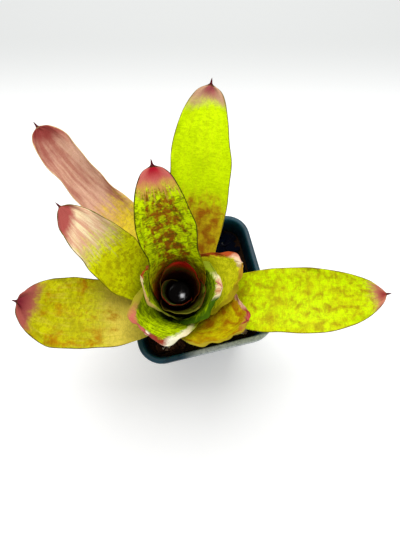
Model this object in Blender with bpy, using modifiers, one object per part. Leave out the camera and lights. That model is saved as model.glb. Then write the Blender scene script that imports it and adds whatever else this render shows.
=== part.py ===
"""Potted bromeliad: a mottled tank rosette rooted in a square nursery pot.

Metres, +Z up. The origin is the centre of the pot's underside, and the pot's sides lie
along X and Y. The plant grows from a short conical stem a little left of and in front
of the pot's centre. Each leaf is one piece: a sheath that clasps the stem, a channelled
blade and a small tip spine.
"""

import math
import random

import bmesh
import bpy
import numpy as np
from mathutils import Vector

MM = 0.001

# Pot
POT_WIDTH = 90 * MM  # over the rim, along X
POT_DEPTH = 90 * MM  # over the rim, along Y
POT_HEIGHT = 80 * MM
POT_TAPER = 10 * MM  # how far each wall leans in from the rim to the underside
POT_CORNER = 16 * MM  # corner radius of the rim, seen from above
POT_WALL = 1.3 * MM
POT_FLOOR = 1.6 * MM
RIM_HEIGHT = 6 * MM
RIM_LIP = 2.2 * MM  # how far the rim band stands out from the wall
RIM_ROUND = 0.9 * MM
FOOT_ROUND = 1.5 * MM
DRAIN_DIAMETER = 7 * MM
DRAIN_INSET = 13 * MM  # from the underside's edge to each hole's centre

# Growing mix and the bark chips on it
HEADSPACE = 15 * MM  # from the rim down to the mix
MIX_RIPPLE = 0.15 * MM
CHIP_SIZE = 11 * MM
CHIP_THICKNESS = 3.2 * MM
CHIP_SPOTS = (  # as shares of half the pot's width and of half its depth
    (-0.69, -0.69), (-0.44, -0.73), (-0.16, -0.76), (0.16, -0.73), (0.47, -0.71),
    (0.71, -0.53), (0.73, -0.13), (0.69, 0.27), (0.64, 0.64), (0.22, 0.69),
)
GAP = 0.3 * MM  # between pieces that touch

# Plant. The rosette is widest where the outermost leaf's sheath ends.
PLANT_SCALE = 1.0  # stretches the whole plant, but not the thickness of its leaves
GROWN = PLANT_SCALE * MM
LEFT_ROOM = 0.7 * MM  # from there to the pot's wall, towards -X
FRONT_ROOM = 5.7 * MM  # the same, towards -Y
STEM_TOP_RADIUS = 4.6 * GROWN
STEM_FLARE = 0.34  # how much the radius grows for each millimetre down
STEM_TOP = 25 * GROWN  # above the mix
STEM_FOOT_RADIUS = 8 * GROWN
STEM_ROOTED = 10 * MM  # how deep the stem stands in the mix
LEAF_THICKNESS = 0.8 * MM
FIRST_LEAF_UP = 23 * GROWN  # height above the mix where the innermost leaf joins
LEAF_STEP_DOWN = 1.6 * GROWN  # each leaf outside it joins this much lower
FIRST_SHEATH_RADIUS = 7.6 * GROWN
SHEATH_SPACE = 0.8 * GROWN  # between one sheath and the next
SHEATH_RISE = 3 * GROWN  # what the sheath of a leaf rises at least
SHEATH_SLOPE = 1.2  # and what it rises more for each millimetre that it spreads
NECK = 0.75  # width of a spreading leaf just above its sheath, as a share of its blade
SPINE_LENGTH = 4.0 * MM
SPINE_RADIUS = 0.7 * MM
ACROSS = 10  # faces across a leaf
ALONG = 14  # faces along a leaf, to which the spine adds two

# Each leaf from the heart outwards: name, direction in degrees from +X, half the angle
# its sheath wraps, where along the leaf the sheath has opened, half the blade's width,
# radius of the blade's channel, length of the narrowing end in half widths, its
# bluntness, then points on the midrib beyond the sheath as (outwards, upwards,
# sideways) from the sheath's end. Lengths are in millimetres.
LEAVES = (
    ("leaf_heart_a", 205, 130, 0.95, 9, 9, 1.6, 0.45, ((1.0, 9, 0), (2.6, 18, 0))),
    ("leaf_heart_b", 60, 125, 0.95, 11, 11, 1.6, 0.45,
     ((1.1, 9, 0), (3.2, 18, 0), (4.6, 25, 0))),
    ("leaf_heart_c", 300, 120, 0.90, 12, 13, 1.6, 0.45,
     ((1.2, 9, 0), (4.0, 18, 0), (6.4, 24, 0))),
    ("leaf_centre", 86, 110, 0.34, 18.5, 24, 2.0, 0.42,
     ((1.9, 9, 0), (4.8, 20, -1), (11, 32, 0), (24, 46, 2), (45, 60, 3))),
    ("leaf_cup_left", 168, 105, 0.80, 16, 20, 1.8, 0.5,
     ((1.6, 10, 0), (4, 21, -2), (5, 31, -4))),
    ("leaf_cup_right", -20, 100, 0.80, 17, 22, 1.8, 0.5, ((1.6, 9, 0), (4.5, 20, 0), (7, 32, 0))),
    ("leaf_front_left", 225, 92, 0.85, 24, 28, 1.5, 0.5,
     ((2.6, 9, 0), (8.5, 16, 0), (13.5, 23, 1), (13, 30, 2))),
    ("leaf_back_right", 5, 70, 0.70, 21, 30, 1.5, 0.5,
     ((3, 8, 0), (9.5, 16, 0), (15.5, 23, 0), (18.5, 30, 0))),
    ("leaf_front_right", -51, 74, 0.70, 27, 32, 1.5, 0.5,
     ((4, 6, 0), (12, 13, 1), (19, 21, 3), (22.5, 30, 7))),
    ("leaf_back", 64, 46, 0.20, 18.5, 34, 2.2, 0.42,
     ((6, 4.5, -2), (16, 13, -2), (36, 32, 0), (62, 49, 4), (88, 62, 5))),
    ("leaf_mid_left", 144, 46, 0.24, 18.5, 30, 2.5, 0.52,
     ((5.5, 8, 1), (16.5, 17, -0.5), (28, 24, -5), (40, 30, -9), (59, 33, -16))),
    ("leaf_far_left", 118, 42, 0.18, 12.3, 17, 1.4, 0.42,
     ((7, 3, -2), (22, 9, -6), (56, 20, -1), (81, 31, 1.5), (105, 40, 1))),
    ("leaf_right", -18, 50, 0.18, 20, 45, 2.5, 0.6,
     ((5, 4, 0), (18.5, 12, -2), (51, 23, -2), (75, 22, 2), (98, 15, 8))),
    ("leaf_left", 186, 46, 0.20, 22, 48, 1.6, 0.45,
     ((5, 3, 1), (20, 11, -2), (42, 16, -11), (66, 12, -27))),
)

LEAF_COLOURS = {
    "leaf_heart_a": (0.10, 0.05, 0.02),
    "leaf_heart_b": (0.16, 0.08, 0.02),
    "leaf_heart_c": (0.15, 0.22, 0.02),
    "leaf_centre": (0.34, 0.42, 0.02),
    "leaf_mid_left": (0.48, 0.50, 0.02),
    "leaf_far_left": (0.56, 0.36, 0.18),
    "leaf_left": (0.50, 0.42, 0.03),
}
LEAF_GREEN = (0.46, 0.62, 0.01)
POT_COLOUR = (0.010, 0.045, 0.065)
MIX_COLOUR = (0.030, 0.016, 0.010)
CHIP_COLOUR = (0.10, 0.050, 0.030)
STEM_COLOUR = (0.20, 0.13, 0.06)

MIX_TOP = POT_HEIGHT - HEADSPACE
SHEATH_STEP_OUT = LEAF_THICKNESS + SHEATH_SPACE
ROSETTE_RADIUS = FIRST_SHEATH_RADIUS + (len(LEAVES) - 1) * SHEATH_STEP_OUT + LEAF_THICKNESS / 2
PLANT_X = -(POT_WIDTH / 2 - RIM_LIP - POT_WALL - ROSETTE_RADIUS - LEFT_ROOM)
PLANT_Y = -(POT_DEPTH / 2 - RIM_LIP - POT_WALL - ROSETTE_RADIUS - FRONT_ROOM)
CORNER_FACES = 6
CORNER_POINTS = 4 * CORNER_FACES


def clear_scene():
    for thing in list(bpy.data.objects):
        bpy.data.objects.remove(thing, do_unlink=True)


def new_collection(name, hidden=False):
    group = bpy.data.collections.new(name)
    group.hide_render = hidden
    bpy.context.scene.collection.children.link(group)
    return group


def new_material(name, colour, roughness):
    material = bpy.data.materials.new(name)
    material.use_nodes = True
    shader = material.node_tree.nodes["Principled BSDF"]
    shader.inputs["Base Color"].default_value = (*colour, 1)
    shader.inputs["Roughness"].default_value = roughness
    shader.inputs["Metallic"].default_value = 0.0
    return material


def add_object(name, mesh, group, material=None):
    thing = bpy.data.objects.new(name, mesh)
    if material:
        mesh.materials.append(material)
    group.objects.link(thing)
    return thing


def finish(shape, name, outwards=True):
    """The bmesh as a smooth-shaded mesh with its sharp edges kept."""
    if outwards:
        bmesh.ops.recalc_face_normals(shape, faces=shape.faces)
        if shape.calc_volume(signed=True) < 0:
            bmesh.ops.reverse_faces(shape, faces=shape.faces)
    mesh = bpy.data.meshes.new(name)
    shape.to_mesh(mesh)
    shape.free()
    mesh.shade_smooth()
    mesh.set_sharp_from_angle(angle=math.radians(40))
    return mesh


def loft(rings, name):
    """A closed skin over a stack of equal-length loops, with its two ends filled."""
    shape = bmesh.new()
    loops = [[shape.verts.new(point) for point in points] for points in rings]
    for lower, upper in zip(loops, loops[1:]):
        for here, there in enumerate([*range(1, len(lower)), 0]):
            shape.faces.new((lower[here], lower[there], upper[there], upper[here]))
    for end in (loops[0], loops[-1]):
        shape.faces.new(end)
    return finish(shape, name)


def rounded_square(half_x, half_y, radius, z):
    """Points of a square with round corners, counter-clockwise from the +X+Y corner."""
    points = []
    for corner, (sx, sy) in enumerate(((1, 1), (-1, 1), (-1, -1), (1, -1))):
        for step in range(CORNER_FACES):
            angle = math.radians(90) * (corner + step / (CORNER_FACES - 1))
            points.append(Vector((
                sx * (half_x - radius) + radius * math.cos(angle),
                sy * (half_y - radius) + radius * math.sin(angle),
                z,
            )))
    return points


def circle(x, y, radius, z):
    """As many points as a rounded square has, facing the same ways."""
    points = []
    for corner in range(4):
        for step in range(CORNER_FACES):
            angle = math.radians(90) * (corner + (step + 0.5) / CORNER_FACES)
            points.append(Vector((x + radius * math.cos(angle), y + radius * math.sin(angle), z)))
    return points


def wall_inset(z):
    """How far the outer wall stands in from the rim band's outer face at a height."""
    return RIM_LIP + POT_TAPER * (1 - z / POT_HEIGHT)


def pot_ring(inset, z):
    """The pot's outline at a height, moved in by an amount from the rim's outer face."""
    radius = max(POT_CORNER - inset, 2 * MM)
    return rounded_square(POT_WIDTH / 2 - inset, POT_DEPTH / 2 - inset, radius, z)


def build_pot(group, cutters):
    band_foot = POT_HEIGHT - RIM_HEIGHT
    rings = [
        pot_ring(wall_inset(0) + FOOT_ROUND, 0),
        pot_ring(wall_inset(0) + 0.3 * FOOT_ROUND, 0.3 * FOOT_ROUND),
        pot_ring(wall_inset(FOOT_ROUND), FOOT_ROUND),
        pot_ring(wall_inset(band_foot), band_foot),
        pot_ring(0.3 * MM, band_foot),
        pot_ring(0, band_foot + 0.5 * MM),
        pot_ring(0, POT_HEIGHT - RIM_ROUND),
        pot_ring(0.3 * RIM_ROUND, POT_HEIGHT - 0.3 * RIM_ROUND),
        pot_ring(RIM_ROUND, POT_HEIGHT),
        pot_ring(RIM_LIP + POT_WALL - RIM_ROUND, POT_HEIGHT),
        pot_ring(RIM_LIP + POT_WALL, POT_HEIGHT - RIM_ROUND),
        pot_ring(wall_inset(POT_FLOOR) + POT_WALL, POT_FLOOR + FOOT_ROUND),
        pot_ring(wall_inset(POT_FLOOR) + POT_WALL + FOOT_ROUND, POT_FLOOR),
    ]
    pot = add_object("pot", loft(rings, "pot"), group, new_material("pot", POT_COLOUR, 0.4))
    inset = wall_inset(0) + DRAIN_INSET
    for number, (sx, sy) in enumerate(((1, 1), (-1, 1), (-1, -1), (1, -1)), 1):
        shape = bmesh.new()
        bmesh.ops.create_cone(
            shape, cap_ends=True, segments=16, radius1=DRAIN_DIAMETER / 2,
            radius2=DRAIN_DIAMETER / 2, depth=4 * POT_FLOOR,
        )
        drill = add_object(f"drain_drill_{number}", finish(shape, "drain_drill"), cutters)
        drill.location = (sx * (POT_WIDTH / 2 - inset), sy * (POT_DEPTH / 2 - inset), 0)
        drill.hide_render = True
        drill.display_type = "WIRE"
        cut = pot.modifiers.new("drain", "BOOLEAN")
        cut.operation = "DIFFERENCE"
        cut.object = drill


def mix_height(x, y):
    """The gently uneven surface of the growing mix."""
    wave = math.sin(x / (9 * MM) + 0.6) * math.cos(y / (11 * MM) - 0.4)
    return MIX_TOP + MIX_RIPPLE * wave


def stem_radius(z):
    """The stem's radius at a height above the mix."""
    return STEM_TOP_RADIUS + STEM_FLARE * (STEM_TOP - z)


def build_mix(group):
    """The mix fills the pot and is open round the foot of the stem."""
    side = POT_WALL + GAP

    def outline(z, extra=0):
        return pot_ring(wall_inset(z) + side + extra, z)

    edge = outline(MIX_TOP)
    hole = circle(PLANT_X, PLANT_Y, stem_radius(0) + GAP, MIX_TOP)
    floor = POT_FLOOR + GAP
    rings = [outline(floor, FOOT_ROUND + 0.6 * MM), outline(floor + FOOT_ROUND + 1 * MM), edge]
    for share in (0.28, 0.56, 0.82, 1):
        rings.append([a.lerp(b, share) for a, b in zip(edge, hole)])
    for loop in rings[2:]:
        for point in loop:
            point.z = mix_height(point.x, point.y)
    socket = MIX_TOP - STEM_ROOTED - GAP
    rings.append(circle(PLANT_X, PLANT_Y, STEM_FOOT_RADIUS + GAP, socket))
    material = new_material("growing_mix", MIX_COLOUR, 0.9)
    add_object("growing_mix", loft(rings, "growing_mix"), group, material)


def build_stem(group):
    """A turned cone that stands in the mix and carries the leaves."""
    top_round = 1.2 * MM
    profile = (
        (0, STEM_TOP),
        (STEM_TOP_RADIUS - top_round, STEM_TOP),
        (stem_radius(STEM_TOP - top_round), STEM_TOP - top_round),
        (stem_radius(STEM_TOP / 2), STEM_TOP / 2),
        (stem_radius(0), 0),
        (STEM_FOOT_RADIUS, -STEM_ROOTED),
        (0, -STEM_ROOTED),
    )
    mesh = bpy.data.meshes.new("stem")
    points = [(radius, 0, height) for radius, height in profile]
    mesh.from_pydata(points, [(i, i + 1) for i in range(len(points) - 1)], [])
    stem = add_object("stem", mesh, group, new_material("stem", STEM_COLOUR, 0.7))
    stem.location = (PLANT_X, PLANT_Y, MIX_TOP)
    screw = stem.modifiers.new("turn", "SCREW")
    screw.steps = screw.render_steps = 20
    screw.use_merge_vertices = True
    screw.merge_threshold = 0.00001


def smoothstep(value, low, high):
    share = np.clip((value - low) / (high - low), 0, 1)
    return share * share * (3 - 2 * share)


def smooth_path(points, places):
    """Points of a Catmull-Rom curve at shares of its length, and the length."""
    knots = np.vstack([2 * points[0] - points[1], points, 2 * points[-1] - points[-2]])
    fine = []
    for p0, p1, p2, p3 in zip(knots, knots[1:], knots[2:], knots[3:]):
        for t in np.arange(0, 1, 0.05):
            fine.append(0.5 * (2 * p1 + (p2 - p0) * t + (2 * p0 - 5 * p1 + 4 * p2 - p3) * t**2
                               + (3 * p1 - p0 - 3 * p2 + p3) * t**3))
    fine.append(points[-1])
    fine = np.array(fine)
    run = np.concatenate([[0], np.cumsum(np.linalg.norm(np.diff(fine, axis=0), axis=1))])
    wanted = places * run[-1]
    curve = np.stack([np.interp(wanted, run, fine[:, axis]) for axis in range(3)], 1)
    return curve, run[-1]


def midrib_path(order, midrib):
    """Points (outwards, sideways, upwards) on the midrib, their shares of it, its length."""
    join_z = FIRST_LEAF_UP - order * LEAF_STEP_DOWN
    join_r = stem_radius(join_z) + GAP + 0.6 * LEAF_THICKNESS
    sheath_r = FIRST_SHEATH_RADIUS + order * SHEATH_STEP_OUT
    rise = SHEATH_SLOPE * (sheath_r - join_r) + SHEATH_RISE
    end = np.array([sheath_r, 0, join_z + rise])
    start = [(join_r, 0, join_z), ((join_r + 2 * sheath_r) / 3, 0, join_z + rise / 2), end]
    blade = [end + np.array([out, side, up]) * GROWN for out, up, side in midrib]
    even = np.linspace(0, 1, ALONG + 1)
    closer_at_ends = (1 - np.cos(math.pi * even)) / 2
    along = 0.4 * even + 0.6 * closer_at_ends
    curve, length = smooth_path(np.array(start + blade), along)
    return curve, along, length


def leaf_ribs(order, azimuth, wrap, sheath_end, half, channel, taper, blunt, midrib):
    """Rows of points across the leaf, from the stem to the end of the tip spine."""
    path, along, length = midrib_path(order, midrib)
    half *= GROWN
    blade = half * (NECK + (1 - NECK) * smoothstep(along, sheath_end, sheath_end + 0.3))
    sheathed = 1 - smoothstep(along, sheath_end * 0.7, sheath_end * 1.4)
    reach = path[:, 0]
    wrapped = math.radians(wrap) * np.minimum(reach, FIRST_SHEATH_RADIUS + order * SHEATH_STEP_OUT)
    narrow = np.clip(1 - (1 - along) * length / (taper * half), 0, 0.998)
    width = (sheathed * wrapped + (1 - sheathed) * blade) * (1 - narrow**1.3) ** blunt
    curve = sheathed * reach + (1 - sheathed) * channel * GROWN
    tangents = np.gradient(path, axis=0)
    tangents /= np.linalg.norm(tangents, axis=1)[:, None]
    tip, forward = path[-1], tangents[-1]
    path = np.vstack([path, tip + forward * SPINE_LENGTH * 0.35, tip + forward * SPINE_LENGTH])
    tangents = np.vstack([tangents, forward, forward])
    sheathed, curve = (np.append(values, [values[-1]] * 2) for values in (sheathed, curve))
    width = np.append(width, [SPINE_RADIUS, SPINE_RADIUS * 0.4])
    spread = np.linspace(-1, 1, ACROSS + 1)
    rows = []
    for point, forward, radius, wide, coaxial in zip(path, tangents, curve, width, sheathed):
        side = np.array([0, 1, 0]) - forward[1] * forward
        side /= np.linalg.norm(side)
        inward = (1 - coaxial) * np.cross(forward, side) + coaxial * np.array([-1, 0, 0])
        inward /= np.linalg.norm(inward)
        angles = spread * wide / radius
        rows.append(point + np.outer(radius * np.sin(angles), side)
                    + np.outer(radius * (1 - np.cos(angles)), inward))
    rows = np.array(rows)
    turn = math.radians(azimuth)
    x = rows[..., 0] * math.cos(turn) - rows[..., 1] * math.sin(turn) + PLANT_X
    y = rows[..., 0] * math.sin(turn) + rows[..., 1] * math.cos(turn) + PLANT_Y
    return np.stack([x, y, rows[..., 2] + MIX_TOP], -1)


def build_leaf(group, order, name, *shape_values):
    """A grid laid on the leaf's ribs, thickened."""
    rows = leaf_ribs(order, *shape_values)
    shape = bmesh.new()
    bmesh.ops.create_grid(shape, x_segments=rows.shape[1] - 1, y_segments=rows.shape[0] - 1)
    shape.verts.ensure_lookup_table()
    for vert, point in zip(shape.verts, rows.reshape(-1, 3)):
        vert.co = point
    mesh = finish(shape, name, outwards=False)
    colour = LEAF_COLOURS.get(name, LEAF_GREEN)
    leaf = add_object(name, mesh, group, new_material(name, colour, 0.35))
    thicken = leaf.modifiers.new("thickness", "SOLIDIFY")
    thicken.thickness = LEAF_THICKNESS
    thicken.offset = 0


def build_chips(group):
    """Flat angular chips that lie on the mix along the front and the right side."""
    material = new_material("bark", CHIP_COLOUR, 0.85)
    floor = MIX_TOP + MIX_RIPPLE + GAP
    dice = random.Random(7)
    for number, (x, y) in enumerate(CHIP_SPOTS, 1):
        centre = Vector((x * POT_WIDTH / 2, y * POT_DEPTH / 2, 0))
        corners = 6
        start = dice.uniform(0, math.tau)
        outline = []
        for corner in range(corners):
            angle = start + math.tau * (corner + dice.uniform(-0.2, 0.2)) / corners
            reach = CHIP_SIZE / 2 * dice.uniform(0.75, 1.0)
            outline.append(centre + Vector((math.cos(angle), 0.7 * math.sin(angle), 0)) * reach)
        thick = CHIP_THICKNESS * dice.uniform(0.8, 1.2)
        levels = ((0.86, 0.0), (1.0, 0.35), (0.95, 0.8), (0.8, 1.0))
        rings = []
        for share, up in levels:
            rings.append([centre + (p - centre) * share * dice.uniform(0.95, 1.0)
                          + Vector((0, 0, floor + thick * up)) for p in outline])
        name = f"bark_chip_{number}"
        add_object(name, loft(rings, name), group, material)


def main():
    clear_scene()
    group = new_collection("potted_bromeliad")
    cutters = new_collection("cutters", hidden=True)
    build_pot(group, cutters)
    build_mix(group)
    build_stem(group)
    build_chips(group)
    for order, values in enumerate(LEAVES):
        build_leaf(group, order, *values)


main()
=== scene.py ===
# %% [markdown]
# # A potted bromeliad, dressed round its measured frame
#
# The frame is a set of plain solids that already stand in the right place: a pot, the mix
# in it with ten bark chips, a stem and fourteen leaves. Each one here gets the shape and
# the finish of the real thing. Everything is in metres, with the middle of the pot's
# underside at the origin.

# %% Load the frame
import math
import random

import bmesh
import bpy
import numpy as np
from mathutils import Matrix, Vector


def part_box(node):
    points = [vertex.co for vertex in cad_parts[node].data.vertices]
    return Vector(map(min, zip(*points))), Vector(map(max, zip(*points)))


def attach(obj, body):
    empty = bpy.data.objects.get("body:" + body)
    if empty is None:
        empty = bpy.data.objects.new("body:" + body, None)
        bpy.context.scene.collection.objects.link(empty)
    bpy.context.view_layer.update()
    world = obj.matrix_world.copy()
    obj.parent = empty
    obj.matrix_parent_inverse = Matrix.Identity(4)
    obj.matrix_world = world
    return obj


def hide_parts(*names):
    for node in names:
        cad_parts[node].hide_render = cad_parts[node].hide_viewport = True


MM = 0.001
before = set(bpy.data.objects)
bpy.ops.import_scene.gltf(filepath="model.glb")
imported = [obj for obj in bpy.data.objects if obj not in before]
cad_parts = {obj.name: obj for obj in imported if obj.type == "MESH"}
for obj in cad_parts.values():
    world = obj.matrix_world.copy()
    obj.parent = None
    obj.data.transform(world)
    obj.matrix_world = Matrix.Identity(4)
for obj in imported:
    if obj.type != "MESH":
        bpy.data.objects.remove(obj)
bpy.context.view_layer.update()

# %% [markdown]
# ## Camera
#
# The plant is seen from above and a little in front, as someone sees it who stands over a
# table. A short lens close by makes the near leaves larger than the pot under them.

# %% Camera
CAMERA_PLACE = (-12.7 * MM, -65.8 * MM, 338.7 * MM)
CAMERA_DOWN = math.radians(72.8)  # below the horizon
CAMERA_TURN = math.radians(-13.4)  # from +Y
CAMERA_LENS = 27  # in mm, before a sensor 36 mm wide

bpy.ops.object.select_all(action="DESELECT")
bpy.ops.object.camera_add(
    location=CAMERA_PLACE, rotation=(math.pi / 2 - CAMERA_DOWN, 0, CAMERA_TURN)
)
camera = bpy.context.object
camera.data.lens = CAMERA_LENS
camera.data.clip_start = 10 * MM
bpy.context.scene.camera = camera
print("camera height, mm:", round(camera.location.z / MM))

# %% [markdown]
# ## Paint box
#
# Every finish below is a small tree of nodes. This class adds a node, joins it up and
# gives back the socket that carries its result, so that a finish reads like a recipe.
# `noise` and `cells` are the patterns, `stir` pushes their coordinates about, `fade` turns
# a value into a soft edge, `mix` lays one colour over another and `ramp` runs through
# several.

# %% Paint box
class Paint:
    """Adds nodes to one material and returns their output sockets."""

    def __init__(self, name, roughness, gloss=0.5):
        self.material = bpy.data.materials.new(name)
        self.material.use_nodes = True
        self.tree = self.material.node_tree
        self.shader = self.tree.nodes["Principled BSDF"]
        self.shader.inputs["Roughness"].default_value = roughness
        self.shader.inputs["Specular IOR Level"].default_value = gloss

    def put(self, socket, value):
        if isinstance(value, bpy.types.NodeSocket):
            self.tree.links.new(value, socket)
        elif value is not None:
            socket.default_value = value

    def add(self, kind, *values, **settings):
        node = self.tree.nodes.new("ShaderNode" + kind)
        for key, value in settings.items():
            setattr(node, key, value)
        for socket, value in zip(node.inputs, values):
            self.put(socket, value)
        return node

    def place(self, scale=(1, 1, 1), move=(0, 0, 0), uv=None):
        """Object coordinates in metres, or a UV map, moved and scaled."""
        if uv:
            source = self.add("UVMap", uv_map=uv).outputs[0]
        else:
            source = self.add("TexCoord").outputs["Object"]
        return self.add("Mapping", source, move, (0, 0, 0), scale).outputs[0]

    def noise(self, where, scale=1.0, detail=2.0, rough=0.5, twist=0.0):
        node = self.add("TexNoise")
        for key, value in (("Vector", where), ("Scale", scale), ("Detail", detail),
                           ("Roughness", rough), ("Distortion", twist)):
            self.put(node.inputs[key], value)
        return node.outputs["Fac"]

    def cells(self, where, scale=1.0, feature="F1"):
        node = self.add("TexVoronoi", feature=feature)
        self.put(node.inputs["Vector"], where)
        self.put(node.inputs["Scale"], scale)
        return node.outputs["Distance"]

    def stir(self, where, scale, amount):
        """The same coordinates, pushed about by noise."""
        node = self.add("TexNoise")
        self.put(node.inputs["Vector"], where)
        self.put(node.inputs["Scale"], scale)
        pushed = self.add("VectorMath", node.outputs["Color"], (amount, amount, amount), where,
                          operation="MULTIPLY_ADD")
        return pushed.outputs[0]

    def fade(self, value, low, high, start=0.0, end=1.0):
        """A smooth step of value from low to high."""
        node = self.add("MapRange", value, low, high, start, end, interpolation_type="SMOOTHSTEP")
        return node.outputs[0]

    def sum(self, operation, a, b=None, c=None):
        return self.add("Math", a, b, c, operation=operation).outputs[0]

    def mix(self, share, a, b, blend="MIX"):
        node = self.add("Mix", data_type="RGBA", blend_type=blend)
        for name, value in (("Factor_Float", share), ("A_Color", a), ("B_Color", b)):
            socket = next(s for s in node.inputs if s.identifier == name)
            self.put(socket, (*value, 1) if isinstance(value, tuple) else value)
        return next(s for s in node.outputs if s.identifier == "Result_Color")

    def ramp(self, value, *stops):
        """Colours in turn along value; each stop is a place and a colour."""
        node = self.add("ValToRGB", value)
        stripe = node.color_ramp.elements
        while len(stripe) < len(stops):
            stripe.new(0.5)
        while len(stripe) > len(stops):
            stripe.remove(stripe[-1])
        for element, (place, colour) in zip(stripe, stops):
            element.position = place
            element.color = (*colour, 1)
        return node.outputs[0]

    def bump(self, height, strength, distance):
        node = self.add("Bump", strength, distance)
        self.put(node.inputs["Height"], height)
        self.put(self.shader.inputs["Normal"], node.outputs[0])

    def colour(self, socket):
        self.put(self.shader.inputs["Base Color"], socket)


def tint(code):
    """A colour from its red, green and blue in hexadecimal, as the shader wants it."""
    parts = [int(code[i:i + 2], 16) / 255 for i in (0, 2, 4)]
    return tuple(c / 12.92 if c < 0.04045 else ((c + 0.055) / 1.055) ** 2.4 for c in parts)


print("paint box:", ", ".join(name for name in vars(Paint) if not name.startswith("_")))


# %% [markdown]
# ## Leaves
#
# A bromeliad leaf is one strap. Its foot is a sheath that clasps the stem, so its cross
# section there is part of a circle round the plant's axis. Further out it opens into a
# shallow channel, and it ends in a round shoulder with a small spine. The three things
# change at once along the leaf, and no single edit-mode tool does that, so the leaf
# starts as a flat grid and each of its rows is laid on its own arc. The table says, for
# each leaf from the heart outwards, its direction, how far its sheath wraps, where the
# sheath opens, its half width, the radius of its channel, how long its end is (in half
# widths) and how blunt, and the points that its midrib runs through. Lengths are in
# millimetres, and the three numbers of a point are outwards, upwards and sideways from
# the place where the sheath ends.

# %% The leaf table
PLANT_CENTRE = (-12.0 * MM, -7.0 * MM)
MIX_TOP = 65 * MM
STEM_TOP_RADIUS, STEM_TOP, STEM_FLARE = 4.6, 25, 0.34
GAP, LEAF_THICKNESS = 0.3, 0.8
FIRST_LEAF_UP, LEAF_STEP_DOWN = 23, 1.6
FIRST_SHEATH, SHEATH_STEP = 7.6, 1.6
SHEATH_SLOPE, SHEATH_RISE = 1.2, 3

LEAVES = {
    "leaf_heart_a": (205, 130, 0.95, 9, 9, 1.6, 0.45, ((1.0, 9, 0), (2.6, 18, 0))),
    "leaf_heart_b": (60, 125, 0.95, 11, 11, 1.6, 0.45, ((1.1, 9, 0), (3.2, 18, 0), (4.6, 25, 0))),
    "leaf_heart_c": (300, 120, 0.90, 12, 13, 1.6, 0.45, ((1.2, 9, 0), (4.0, 18, 0), (6.4, 24, 0))),
    "leaf_centre": (86, 110, 0.34, 18.5, 24, 2.0, 0.42,
                    ((1.9, 9, 0), (4.8, 20, -1), (11, 32, 0), (24, 46, 2), (45, 60, 3))),
    "leaf_cup_left": (168, 105, 0.80, 16, 20, 1.8, 0.5,
                      ((1.6, 10, 0), (4, 21, -2), (5, 31, -4))),
    "leaf_cup_right": (-20, 100, 0.80, 17, 22, 1.8, 0.5,
                       ((1.6, 9, 0), (4.5, 20, 0), (7, 32, 0))),
    "leaf_front_left": (225, 92, 0.85, 24, 28, 1.5, 0.5,
                        ((2.6, 9, 0), (8.5, 16, 0), (13.5, 23, 1), (13, 30, 2))),
    "leaf_back_right": (5, 70, 0.70, 21, 30, 1.5, 0.5,
                        ((3, 8, 0), (9.5, 16, 0), (15.5, 23, 0), (18.5, 30, 0))),
    "leaf_front_right": (-51, 74, 0.70, 27, 32, 1.5, 0.5,
                         ((4, 6, 0), (12, 13, 1), (19, 21, 3), (22.5, 30, 7))),
    "leaf_back": (64, 46, 0.20, 18.5, 34, 2.2, 0.42,
                  ((6, 4.5, -2), (16, 13, -2), (36, 32, 0), (62, 49, 4), (88, 62, 5))),
    "leaf_mid_left": (144, 46, 0.24, 18.5, 30, 2.5, 0.52,
                      ((5.5, 8, 1), (16.5, 17, -0.5), (28, 24, -5), (40, 30, -9),
                       (59, 33, -16))),
    "leaf_far_left": (118, 42, 0.18, 12.3, 17, 1.4, 0.42,
                      ((7, 3, -2), (22, 9, -6), (56, 20, -1), (81, 31, 1.5), (105, 40, 1))),
    "leaf_right": (-18, 50, 0.18, 20, 45, 2.5, 0.6,
                   ((5, 4, 0), (18.5, 12, -2), (51, 23, -2), (75, 22, 2), (98, 15, 8))),
    "leaf_left": (186, 46, 0.20, 22, 48, 1.6, 0.45,
                  ((5, 3, 1), (20, 11, -2), (42, 16, -11), (66, 12, -27))),
}
ORDER = {name: number for number, name in enumerate(LEAVES)}
print("leaves:", len(LEAVES))

# %% [markdown]
# A midrib is drawn as a smooth curve through its points. Rows lie closer together at the
# foot and at the tip, where the leaf's outline turns quickly.

# %% Midribs
ROWS = 48
ACROSS = 22


def smooth_step(value, low, high):
    share = np.clip((value - low) / (high - low), 0, 1)
    return share * share * (3 - 2 * share)


def smooth_curve(points, places):
    """Points of a Catmull-Rom curve at shares of its length, and the length."""
    knots = np.vstack([2 * points[0] - points[1], points, 2 * points[-1] - points[-2]])
    fine = [points[0]]
    for p0, p1, p2, p3 in zip(knots, knots[1:], knots[2:], knots[3:]):
        for t in np.linspace(0.05, 1, 20):
            fine.append(0.5 * (2 * p1 + (p2 - p0) * t + (2 * p0 - 5 * p1 + 4 * p2 - p3) * t**2
                               + (3 * p1 - p0 - 3 * p2 + p3) * t**3))
    fine = np.array(fine)
    run = np.concatenate([[0], np.cumsum(np.linalg.norm(np.diff(fine, axis=0), axis=1))])
    curve = np.stack([np.interp(places * run[-1], run, fine[:, i]) for i in range(3)], 1)
    return curve, run[-1]


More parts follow.
